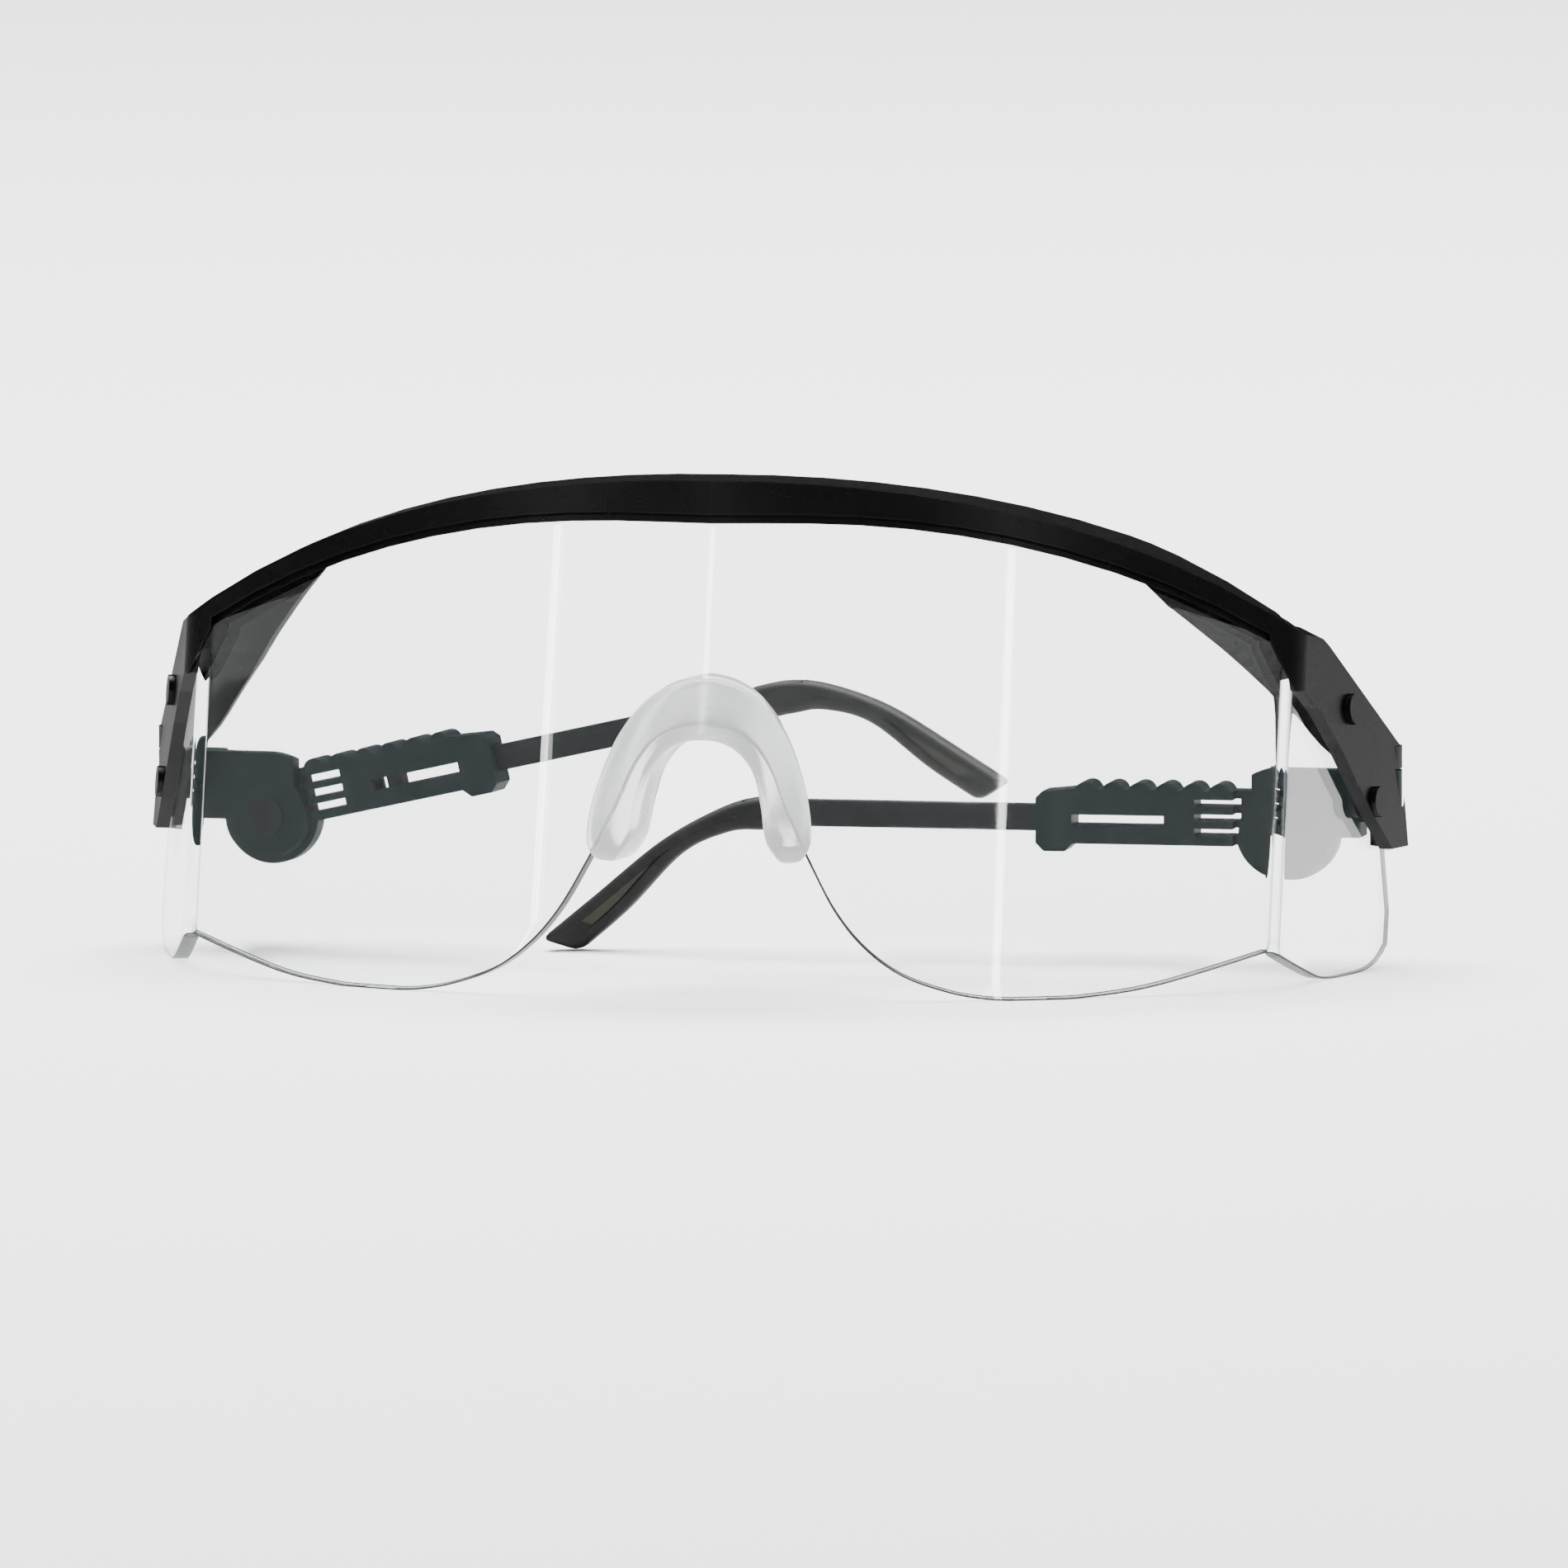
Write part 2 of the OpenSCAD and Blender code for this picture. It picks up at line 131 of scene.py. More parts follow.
# The lens's lower edge over x: the nose cut-out, then the lobe; and the shield's edges over depth.
NOSE = [(0, 33.2), (4.8, 32), (8.2, 28.4), (10.8, 22.4), (14.2, 15.8), (17.2, 10.6), (20.8, 6.4),
        (25.4, 3.1), (31, 1.05), (35, 0.25), (38, 0)]
LOBE = [(43, 0), (47, 0.15), (55, 1.3), (CREASE_X, 5)]
SHIELD_FRONT = [(16, 4.6), (23, 2), (28, 0.4), (32, 0)]
SHIELD_REAR = [(38, 0), (41, 0.2), (44.4, 1), (47.4, 2.8), (48.4, 4.6), (48.6, 7)]


def half_of(points, steps):
    """The right half of the smooth symmetric line through the points and their mirror images."""
    whole = [(-x, z) for x, z in reversed(points[1:])] + points
    return [p for p in catmull(whole, steps) if p[0] >= 0]


cut_line = half_of(NOSE, 8)
lens_low_line = cut_line + catmull(LOBE, 8)
shield_low_line = catmull(SHIELD_FRONT, 6) + catmull(SHIELD_REAR, 6)
shield_top_line = [(22, 70), (27, 45), (34, 37), (48.6, 24.5)]

# ---------------------------------------------------------------- the lens's plan
# In the leaned frame: each lobe is an arc from the ridge to the crease, then comes the side shield.
ridge = Vector((0, RIDGE_Y))
crease = Vector((CREASE_X, RIDGE_Y + WRAP_DEPTH))
chord = crease - ridge
lobe_c = (ridge + crease) / 2 + Vector((-chord.y, chord.x)).normalized() * math.sqrt(
    LOBE_R ** 2 - (chord.length / 2) ** 2)
shield_dir = Vector((math.sin(FLARE), math.cos(FLARE)))
shield_out = Vector((shield_dir.y, -shield_dir.x))
to_crease = crease - CREASE_R * shield_out - lobe_c
along = to_crease.dot(shield_dir)
crease_c = lobe_c + to_crease + shield_dir * (
    -along - math.sqrt(along ** 2 - to_crease.length_squared + (LOBE_R - CREASE_R) ** 2))
lobe_end_a = math.atan2(crease_c.y - lobe_c.y, crease_c.x - lobe_c.x)
lobe_start_a = -math.acos(-lobe_c.x / LOBE_R)


def lobe_at(x):
    """A lobe's outer face at x >= 0 in plan, and the way out of it; the ridge is slightly rounded."""
    c = (x - lobe_c.x) / LOBE_R
    out = Vector((c, -math.sqrt(1 - c * c)))
    point = lobe_c + LOBE_R * out
    if x < RIDGE_ROUND:
        share = x / RIDGE_ROUND
        slope = math.tan(lobe_start_a + math.pi / 2) * RIDGE_ROUND / 2
        point.y += slope * (1 - share) ** 2
        out = Vector((out.x * share, out.y)).normalized()
    return point, out


def crease_at(share):
    """The rounding between lobe and shield, at a share of its length, and the way out of it."""
    a = lobe_end_a + (-FLARE - lobe_end_a) * share
    out = Vector((math.cos(a), math.sin(a)))
    return crease_c + CREASE_R * out, out


shield_start = crease_c + CREASE_R * shield_out
lobe_end_x = (lobe_c + LOBE_R * Vector((math.cos(lobe_end_a), math.sin(lobe_end_a)))).x


def leaned_y(y, z):
    """The depth, in the datum frame, of the plan's y at height z."""
    return (y + z * math.sin(LEAN)) / math.cos(LEAN)


def shield_s(y, z):
    """How far along the side shield the plane at depth y is, at height z."""
    return (y * math.cos(LEAN) - z * math.sin(LEAN) - shield_start.y) / shield_dir.y


def shell_point(base, out, depth, z, side):
    """The point at height z and at a depth under the outer face, which has base in its plan."""
    p = base - out * depth
    return row(side * p.x, leaned_y(p.y, z), z)


SETTLE_STEPS = 12


def settle(height_at, start, base_at):
    """The height z at which a leaned line crosses an outline that is given over depth."""
    z = start
    for _ in range(SETTLE_STEPS):
        z = height_at(leaned_y(base_at(z).y, z))
    return z


# ---------------------------------------------------------------- mesh helpers
MERGE_WITHIN = 1e-7      # metres
LARGE_FACE_WEIGHT = 80   # how much the large faces steer the shading beside a rounded edge
CORNER_STEPS = 4         # pieces of a fillet in an outline
LEG_SHARE = 2.1          # a fillet takes less than half of each leg beside it


def make_object(name, verts, faces, smooth_angle, second_slot=()):
    """A smooth-shaded object; the faces numbered in second_slot take its second material."""
    mesh = bpy.data.meshes.new(name)
    mesh.from_pydata([tuple(v) for v in verts], [], faces)
    for k in second_slot:
        mesh.polygons[k].material_index = 1
    bm = bmesh.new()
    bm.from_mesh(mesh)
    bmesh.ops.remove_doubles(bm, verts=bm.verts, dist=MERGE_WITHIN)
    bmesh.ops.recalc_face_normals(bm, faces=bm.faces)
    bm.to_mesh(mesh)
    bm.free()
    mesh.shade_smooth()
    mesh.set_sharp_from_angle(angle=math.radians(smooth_angle))
    obj = bpy.data.objects.new(name, mesh)
    bpy.context.scene.collection.objects.link(obj)
    return obj


def bevel(obj, width, segments, angle):
    """Round the edges that turn by more than the angle; the width is in millimetres."""
    mod = obj.modifiers.new("edge", "BEVEL")
    mod.width = width * MM
    mod.segments = segments
    mod.limit_method = "ANGLE"
    mod.angle_limit = math.radians(angle)
    mod.use_clamp_overlap = True
    normals = obj.modifiers.new("normals", "WEIGHTED_NORMAL")
    normals.weight = LARGE_FACE_WEIGHT
    return mod


def grid_shell(name, columns, rows, point, depths, smooth_angle):
    """A closed sheet of two faces: point(column, share of height, depth) for the two depths.

    Its rim takes the second material.
    """
    verts, faces, rim = [], [], []
    for depth in depths:
        for c in columns:
            for r in range(rows + 1):
                verts.append(point(c, r / rows, depth))
    n, m = len(columns), rows + 1

    def at(layer, i, j):
        return layer * n * m + i * m + j
    for i in range(n - 1):
        for j in range(rows):
            faces.append((at(0, i, j), at(0, i + 1, j), at(0, i + 1, j + 1), at(0, i, j + 1)))
            faces.append((at(1, i, j), at(1, i, j + 1), at(1, i + 1, j + 1), at(1, i + 1, j)))
        rim.append((at(0, i, 0), at(1, i, 0), at(1, i + 1, 0), at(0, i + 1, 0)))
        rim.append((at(0, i, rows), at(0, i + 1, rows), at(1, i + 1, rows), at(1, i, rows)))
    for i in (0, n - 1):
        for j in range(rows):
            rim.append((at(0, i, j), at(0, i, j + 1), at(1, i, j + 1), at(1, i, j)))
    numbers = range(len(faces), len(faces) + len(rim))
    return make_object(name, verts, faces + rim, smooth_angle, numbers)


def loft(rings):
    """The points and faces of rings joined one after the other, with both ends closed."""
    verts = [p for ring in rings for p in ring]
    m = len(rings[0])
    faces = []
    for i in range(len(rings) - 1):
        for j in range(m):
            k = (j + 1) % m
            faces.append((i * m + j, i * m + k, (i + 1) * m + k, (i + 1) * m + j))
    faces.append(tuple(range(m)))
    faces.append(tuple(len(verts) - m + j for j in range(m)))
    return verts, faces


def rounded_corner(prev, corner, nxt, radius):
    """Points of a fillet at a corner of a 2D outline."""
    a, b = (prev - corner).normalized(), (nxt - corner).normalized()
    half = math.acos(max(-1, min(1, a.dot(b)))) / 2
    back = min(radius / math.tan(half), (prev - corner).length / LEG_SHARE,
               (nxt - corner).length / LEG_SHARE)
    start, end = corner + a * back, corner + b * back
    out = []
    for k in range(CORNER_STEPS + 1):
        t = k / CORNER_STEPS
        out.append((1 - t) ** 2 * start + 2 * t * (1 - t) * corner + t * t * end)
    return out


def rounded_outline(points, radii):
    """A closed 2D outline with a fillet at each corner whose radius isn't 0."""
    pts = [Vector(p) for p in points]
    out = []
    for i, r in enumerate(radii):
        if r > 0:
            out += rounded_corner(pts[i - 1], pts[i], pts[(i + 1) % len(pts)], r)
        else:
            out.append(pts[i])
    return out


# ---------------------------------------------------------------- materials
NYLON_IOR = 1.5
POLYCARBONATE_IOR = 1.586
VINYL_IOR = 1.45
WEAR_REACH = 0.3               # how far from an edge the rubbed colour goes, in millimetres
WEAR_SAMPLES = 4
LAMP_TINT = (0.93, 0.95, 0.95)      # of lamp light that has come through the lens
VINYL_TINTS = (0.92, 0.94, 0.94), (0.98, 0.98, 0.97)
VINYL_GLOW = 0.004             # how far light spreads in the vinyl, in metres
STEEL_TINT = (0.55, 0.55, 0.57)


def new_material(name):
    mat = bpy.data.materials.new(name)
    mat.use_nodes = True
    tree = mat.node_tree
    return mat, tree, tree.nodes["Principled BSDF"]


def node(tree, kind, **values):
    """A new node with the values set, as inputs where it has an input of that name."""
    n = tree.nodes.new(kind)
    for key, value in values.items():
        if key in n.inputs:
            n.inputs[key].default_value = value
        else:
            setattr(n, key, value)
    return n


def noise(tree, scale, detail, roughness=0.5, stretch=(1, 1, 1)):
    coords = node(tree, "ShaderNodeTexCoord")
    mapping = node(tree, "ShaderNodeMapping", Scale=stretch)
    tex = node(tree, "ShaderNodeTexNoise", Scale=scale, Detail=detail, Roughness=roughness)
    tree.links.new(coords.outputs["Object"], mapping.inputs["Vector"])
    tree.links.new(mapping.outputs["Vector"], tex.inputs["Vector"])
    return tex.outputs["Fac"]


def ramp(tree, source, given, wanted=(0, 1)):
    """The source, with its given span stretched to the wanted one."""
    r = node(tree, "ShaderNodeMapRange")
    for key, value in zip(("From Min", "From Max", "To Min", "To Max"), (*given, *wanted)):
        r.inputs[key].default_value = value
    tree.links.new(source, r.inputs["Value"])
    return r.outputs["Result"]


def mix_colour(tree, fac, a, b):
    m = node(tree, "ShaderNodeMix", data_type="RGBA")
    m.inputs["A"].default_value = (*a, 1)
    m.inputs["B"].default_value = (*b, 1)
    tree.links.new(fac, m.inputs["Factor"])
    return m.outputs["Result"]


def bump(tree, shader, source, strength, distance):
    """Small relief from the source; the distance is in millimetres."""
    b = node(tree, "ShaderNodeBump", Strength=strength, Distance=distance * MM)
    tree.links.new(source, b.inputs["Height"])
    tree.links.new(b.outputs["Normal"], shader.inputs["Normal"])


def edge_wear(tree):
    """1 on the edges, where the rounded normal turns away from the face's own."""
    rounded = node(tree, "ShaderNodeBevel", samples=WEAR_SAMPLES, Radius=WEAR_REACH * MM)
    geometry = node(tree, "ShaderNodeNewGeometry")
    dot = node(tree, "ShaderNodeVectorMath", operation="DOT_PRODUCT")
    tree.links.new(rounded.outputs["Normal"], dot.inputs[0])
    tree.links.new(geometry.outputs["Normal"], dot.inputs[1])
    return ramp(tree, dot.outputs["Value"], (0.99, 0.85))


def matt_at_grazing(tree, shader, colour, share):
    """Take the mirror-like sheen off a face that is seen edge-on."""
    turned = node(tree, "ShaderNodeLayerWeight", Blend=0.5)
    matt = node(tree, "ShaderNodeBsdfDiffuse", Color=(*colour, 1))
    both = node(tree, "ShaderNodeMixShader")
    tree.links.new(ramp(tree, turned.outputs["Facing"], (0.35, 0.75), (0, share)), both.inputs["Fac"])
    tree.links.new(shader.outputs["BSDF"], both.inputs[1])
    tree.links.new(matt.outputs["BSDF"], both.inputs[2])
    tree.links.new(both.outputs["Shader"], tree.nodes["Material Output"].inputs["Surface"])


def moulded_plastic(name, colour, worn, roughness, grain, grain_depth, shine, matt):
    """Injection-moulded plastic: mottled gloss, a fine grain, paler rubbed edges and faint scuffs."""
    mat, tree, shader = new_material(name)
    broad = noise(tree, scale=60, detail=4)
    fine = noise(tree, scale=grain, detail=2)
    scuff = noise(tree, scale=900, detail=2, roughness=0.6, stretch=(1, 0.08, 0.3))
    wear = edge_wear(tree)
    worn_share = node(tree, "ShaderNodeMath", operation="MULTIPLY")
    tree.links.new(wear, worn_share.inputs[0])
    tree.links.new(ramp(tree, broad, (0.4, 0.7), (0.2, 1)), worn_share.inputs[1])
    tree.links.new(mix_colour(tree, worn_share.outputs[0], colour, worn), shader.inputs["Base Color"])
    gloss = node(tree, "ShaderNodeMath", operation="ADD")
    mottle = (roughness - 0.03, roughness + 0.04)
    tree.links.new(ramp(tree, broad, (0.3, 0.7), mottle), gloss.inputs[0])
    tree.links.new(ramp(tree, scuff, (0.62, 0.8), (0, 0.04)), gloss.inputs[1])
    tree.links.new(gloss.outputs[0], shader.inputs["Roughness"])
    bump(tree, shader, fine, strength=0.25, distance=grain_depth)
    shader.inputs["IOR"].default_value = NYLON_IOR
    shader.inputs["Specular IOR Level"].default_value = shine
    matt_at_grazing(tree, shader, colour, matt)
    return mat


def clear_plastic(name, tint, roughness, haze, shine, clarity=1.0, escapes=True):
    """Clear moulding that lets lamps through, with faint wipe marks.

    Where light would run on inside the sheet, as at the creases, `escapes` lets it out instead.
    """
    mat, tree, shader = new_material(name)
    shader.inputs["Base Color"].default_value = (*tint, 1)
    shader.inputs["Transmission Weight"].default_value = clarity
    shader.inputs["IOR"].default_value = POLYCARBONATE_IOR
    shader.inputs["Specular IOR Level"].default_value = shine
    smear = noise(tree, scale=45, detail=5, roughness=0.6, stretch=(1, 1, 0.35))
    hazy = ramp(tree, smear, (0.45, 0.8), (roughness, roughness + haze))
    tree.links.new(hazy, shader.inputs["Roughness"])
    flow = noise(tree, scale=18, detail=2)
    bump(tree, shader, flow, strength=0.08, distance=0.4)
    path = node(tree, "ShaderNodeLightPath")
    clear = node(tree, "ShaderNodeBsdfTransparent", Color=(*LAMP_TINT, 1))
    through = path.outputs["Is Shadow Ray"]
    if escapes:
        inside = node(tree, "ShaderNodeNewGeometry")
        glancing = node(tree, "ShaderNodeLayerWeight", Blend=0.5)
        trapped = node(tree, "ShaderNodeMath", operation="MULTIPLY")
        tree.links.new(inside.outputs["Backfacing"], trapped.inputs[0])
        tree.links.new(ramp(tree, glancing.outputs["Facing"], (0.2, 0.3)), trapped.inputs[1])
        either = node(tree, "ShaderNodeMath", operation="MAXIMUM")
        tree.links.new(through, either.inputs[0])
        tree.links.new(trapped.outputs[0], either.inputs[1])
        through = either.outputs[0]
    lamps = node(tree, "ShaderNodeMixShader")
    tree.links.new(through, lamps.inputs["Fac"])
    tree.links.new(shader.outputs["BSDF"], lamps.inputs[1])
    tree.links.new(clear.outputs["BSDF"], lamps.inputs[2])
    tree.links.new(lamps.outputs["Shader"], tree.nodes["Material Output"].inputs["Surface"])
    return mat


def soft_vinyl(name):
    """The nose pad's clear vinyl, slightly cloudy inside."""
    mat, tree, shader = new_material(name)
    cloud = noise(tree, scale=130, detail=4)
    tree.links.new(mix_colour(tree, cloud, *VINYL_TINTS), shader.inputs["Base Color"])
    shader.inputs["Transmission Weight"].default_value = 0.74
    shader.inputs["IOR"].default_value = VINYL_IOR
    tree.links.new(ramp(tree, cloud, (0.3, 0.7), (0.12, 0.3)), shader.inputs["Roughness"])
    shader.inputs["Subsurface Weight"].default_value = 0.15
    shader.inputs["Subsurface Radius"].default_value = (VINYL_GLOW,) * 3
    bump(tree, shader, noise(tree, scale=700, detail=2), strength=0.15, distance=0.05)
    return mat


def rubber(name, colour, dusty):
    """Soft matt rubber with a fine stipple and a little dust in it."""
    mat, tree, shader = new_material(name)
    dust = noise(tree, scale=220, detail=5, roughness=0.65)
    tree.links.new(mix_colour(tree, ramp(tree, dust, (0.45, 0.75)), colour, dusty),
                   shader.inputs["Base Color"])
    tree.links.new(ramp(tree, dust, (0.3, 0.7), (0.5, 0.66)), shader.inputs["Roughness"])
    bump(tree, shader, noise(tree, scale=2600, detail=2), strength=0.35, distance=0.04)
    shader.inputs["Specular IOR Level"].default_value = 0.16
    return mat


def steel(name):
    """Drawn steel with fine lines round it."""
    mat, tree, shader = new_material(name)
    line = noise(tree, scale=700, detail=3, stretch=(1, 1, 0.05))
    shader.inputs["Base Color"].default_value = (*STEEL_TINT, 1)
    shader.inputs["Metallic"].default_value = 1.0
    tree.links.new(ramp(tree, line, (0.3, 0.7), (0.22, 0.42)), shader.inputs["Roughness"])
    bump(tree, shader, line, strength=0.1, distance=0.03)
    return mat


CLEAR = clear_plastic("clear_polycarbonate", (0.975, 0.985, 0.985), roughness=0.0, haze=0.05, shine=0.14)
VINYL = soft_vinyl("clear_vinyl")
# The lens's rim is painted nearly black and almost opaque. This painted shade stands in for the dark
# line that refraction puts along the clear lens's edges.
LENS_RIM_PAINTED_DARK = clear_plastic("lens_rim_painted_dark_shade", (0.03, 0.033, 0.032), roughness=0.25, haze=0.1,
                           clarity=0.15, shine=0.04, escapes=False)
BLACK = moulded_plastic("gloss_black_nylon", (0.001, 0.001, 0.0012), (0.012, 0.012, 0.013),
                        roughness=0.26, grain=1500, grain_depth=0.02, shine=0.13, matt=0.85)
TEAL_BLACK = moulded_plastic("satin_teal_black_nylon", (0.0016, 0.0062, 0.007), (0.014, 0.026, 0.028),
                             roughness=0.34, grain=1800, grain_depth=0.03, shine=0.06, matt=0.6)
SLIDER = moulded_plastic("satin_black_nylon", (0.0018, 0.0032, 0.0038), (0.014, 0.018, 0.02),
                         roughness=0.32, grain=1800, grain_depth=0.03, shine=0.08, matt=0.6)
RUBBER = rubber("dark_grey_rubber", (0.004, 0.0046, 0.0042), (0.01, 0.0108, 0.0098))
PANEL = rubber("olive_grey_panel", (0.02, 0.02, 0.015), (0.03, 0.03, 0.023))
STEEL = steel("pin_steel")


def paint(obj, mat):
    if not obj.material_slots:
        obj.data.materials.append(mat)
    for s in obj.material_slots:
        s.link = "OBJECT"
        s.material = mat


# ---------------------------------------------------------------- lens
RIDGE_COLUMNS = [0, 0.3, 0.6, 0.9, 1.2, 1.6, 2.2, 3.0]
LOBE_N, CREASE_N, SHIELD_N = 84, 8, 22
LENS_ROWS = 26
LENS_SMOOTH = LENS_EDGE_ANGLE = 50
LENS_EDGE = 0.65
# The heights at which the search for the shield's lower and upper edge starts.
LOW_START, HIGH_START = 3, 35


def lens_columns():
    """Where the columns of the lens stand, from one rear edge to the other."""
    close = RIDGE_COLUMNS[-1]
    xs = RIDGE_COLUMNS + [close + (lobe_end_x - close) * k / LOBE_N for k in range(1, LOBE_N + 1)]
    half = [("lobe", x) for x in xs]
    half += [("crease", k / CREASE_N) for k in range(1, CREASE_N + 1)]
    half += [("shield", k / SHIELD_N) for k in range(1, SHIELD_N + 1)]
    return [(-1, *c) for c in reversed(half[1:])] + [(1, *c) for c in half]


def lens_point(column, share, depth):
    """A point of the lens, in a column, at a share of the height there and a depth in the wall."""
    side, kind, t = column
    if kind == "shield":
        out = shield_out
    else:
        base, out = lobe_at(t) if kind == "lobe" else crease_at(t)

    def base_at(z):
        if kind == "shield":
            return shield_start + shield_dir * t * shield_s(SHIELD_END_Y, z)
        return base

    if kind == "lobe":
        low, high = lookup(lens_low_line, t), brow_z(t) - LENS_TOP_GAP
    else:
        low = settle(lambda y: lookup(shield_low_line, y), LOW_START, base_at)
        high = settle(lambda y: lookup(shield_top_line, y), HIGH_START, base_at)
        high = min(high, brow_z(min(abs(base_at(high).x), BROW_REACH)) - LENS_TOP_GAP)
    z = low + (high - low) * share
    return shell_point(base_at(z), out, depth, z, side)


def build_lens():
    lens = grid_shell("clear_lens", lens_columns(), LENS_ROWS, lens_point, (0, LENS_T), LENS_SMOOTH)
    lens.data.materials.append(CLEAR)
    # The rim and its rounding take the painted dark rim material.
    lens.data.materials.append(LENS_RIM_PAINTED_DARK)
    bevel(lens, LENS_EDGE, 3, LENS_EDGE_ANGLE).material = 1
    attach(lens, "front")
    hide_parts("lens")


# ---------------------------------------------------------------- nose pad
# Depths from the lens's outer face: the pad starts in front of it and ends behind it.
PAD_FRONT = -0.9
PAD_REAR = 7.5
NOSE_RADII = [0.8, 0.6, 0, 0, 0, 0, 2.0, 2.0]
GROOVE_LEAST = 0.3       # the least depth of the groove for the lens
CUT_STEPS = 60
NOSE_SMOOTH = 40
# The last three sections at each end are drawn in, so that the legs end round.
ROUNDED_END = {0: 0.72, 1: 0.9, 2: 0.97}
NOSE_INNER = half_of([(0, 31.4), (3.6, 30.6), (6.3, 27.8), (7.6, 23.6), (8.4, 19.4), (10.4, 16.6)], 8)
NOSE_OUTER = half_of([(0, 38.8), (5.6, 37.2), (10, 32.4), (12.9, 25.4), (13.8, 19.6), (12.6, 16.8)], 8)


def cut_share(inner, outer):
    """How far from the pad's inner line to its outer line the lens's cut-out lies."""
    for k in range(1, CUT_STEPS):
        t = k / CUT_STEPS
        x = inner[0] + (outer[0] - inner[0]) * t
        z = inner[1] + (outer[1] - inner[1]) * t
        if z > lookup(cut_line, x):
            return t
    return 1.0


def nose_section(inner, outer, side, shrink):
    """A section of the saddle, with the groove for the lens in its outer side."""
    width = math.dist(inner, outer)
    groove = min(cut_share(inner, outer) * width, width - GROOVE_LEAST)
    outline = rounded_outline(
        [(0, PAD_FRONT), (width, PAD_FRONT), (width, 0), (groove, 0), (groove, LENS_T),
         (width, LENS_T), (width, PAD_REAR), (0, PAD_REAR)], NOSE_RADII)
    middle = Vector((width / 2, (PAD_FRONT + PAD_REAR) / 2))
    ring = []
    for p in outline:
        w, depth = middle + (p - middle) * shrink
        x = inner[0] + (outer[0] - inner[0]) * w / width
        z = inner[1] + (outer[1] - inner[1]) * w / width
        base, out = lobe_at(x)
        ring.append(shell_point(base, out, depth, z, side))
    return ring


def build_nose_pad():
    half = list(zip(NOSE_INNER, NOSE_OUTER))
    rings = []
    for side, pairs in ((-1, list(reversed(half[1:]))), (1, half)):
        for k, (inner, outer) in enumerate(pairs):
            from_end = k if side < 0 else len(pairs) - 1 - k
            rings.append(nose_section(inner, outer, side, ROUNDED_END.get(from_end, 1)))
    pad = make_object("clear_nose_saddle", *loft(rings), NOSE_SMOOTH)
    paint(pad, VINYL)
    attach(pad, "front")
    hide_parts("nose_pad")


# ---------------------------------------------------------------- temples
joints = {j["name"]: j for j in frame["joints"]}
# The temple's own plan: the tilt rivet's place, the pad's thickness, and where its inward bend
# starts, how far that runs, and how far inwards it goes.
TILT_X = 12.5
TILT_Z = 16.0
PAD_T = 3.6
PAD_BEND_X = 78.0
PAD_RUN = 27.0
PAD_CURVE = 5.0
PAD_BEND_R = PAD_RUN ** 2 / (2 * PAD_CURVE) + PAD_CURVE / 2
PAD_CORNER_R = 1.35
PAD_STEPS = 10
PAD_SMOOTH = 50
# Each face has a sunk panel: its depth, how far its edge stands from the rounded corner at the top
# and at the bottom of its wall, the two sides of a section's ring that span it, and the sections
# that it fades in at, is painted from and to, and fades out at, the last two counted from the end.
PANEL_DEPTH = 0.3
LIP_TOP, LIP_FOOT = 0.15, 0.4
PANEL_SIDES = (6, 20)
PANEL_FADE = 2
PANEL_START, PAINT_START, PAINT_END, PANEL_END = 17, 20, 6, 4
PAD_UPPER = [(73, 19.3), (78, 19.2), (83, 17.7), (90.2, 13.6), (98.4, 6.7), (104.4, 1.6)]
PAD_LOWER = [(73, 15.1), (77.6, 15.1), (81.8, 14.75), (87.6, 12.0), (94.0, 5.2), (99.8, 0.05)]


def temple_frame(name):
    """A function from temple millimetres (along, outwards, up) to the row frame, by the joints."""
    tilt, slide = joints[f"tilt_{name}"], joints[f"slide_{name}"]
    along = Vector(slide["axis"]).normalized()
    outwards = Vector(tilt["axis"]).normalized()
    if outwards.y < 0:
        outwards = -outwards
    up = along.cross(outwards)
    if up.z < 0:
        up = -up
    origin = Vector(tilt["pos_m"])
    pulled = -slide["range_m"][0] / MM

    def place(x, y, z):
        return origin + (along * (x - TILT_X + pulled) + outwards * y + up * (z - TILT_Z)) * MM
    return place


def pad_section(place, low, high, recess, shrink):
    """A section of the ear pad with rounded corners and a shallow panel in each face."""
    height = math.dist(low, high)
    t = PAD_T / 2
    r = PAD_CORNER_R
    corners = [rounded_corner(Vector(a), Vector(b), Vector(c), r) for a, b, c in (
        ((0, t), (0, -t), (height, -t)), ((0, -t), (height, -t), (height, t)),
        ((height, -t), (height, t), (0, t)), ((height, t), (0, t), (0, -t)))]
    lips = (r + LIP_TOP, r + LIP_FOOT, height - r - LIP_FOOT, height - r - LIP_TOP)
    sunk = (t, t - recess, t - recess, t)
    outline = corners[0] + [Vector((w, -d)) for w, d in zip(lips, sunk)] + corners[1]
    outline += corners[2] + [Vector((w, d)) for w, d in zip(reversed(lips), sunk)] + corners[3]
    middle = Vector((height / 2, 0))
    ring = []
    for p in outline:
        w, d = middle + (p - middle) * shrink
        x = low[0] + (high[0] - low[0]) * w / height
        z = low[1] + (high[1] - low[1]) * w / height
        if x > PAD_BEND_X:
            d = math.sqrt((PAD_BEND_R + d) ** 2 - (x - PAD_BEND_X) ** 2) - PAD_BEND_R
        ring.append(place(x, d, z))
    return ring


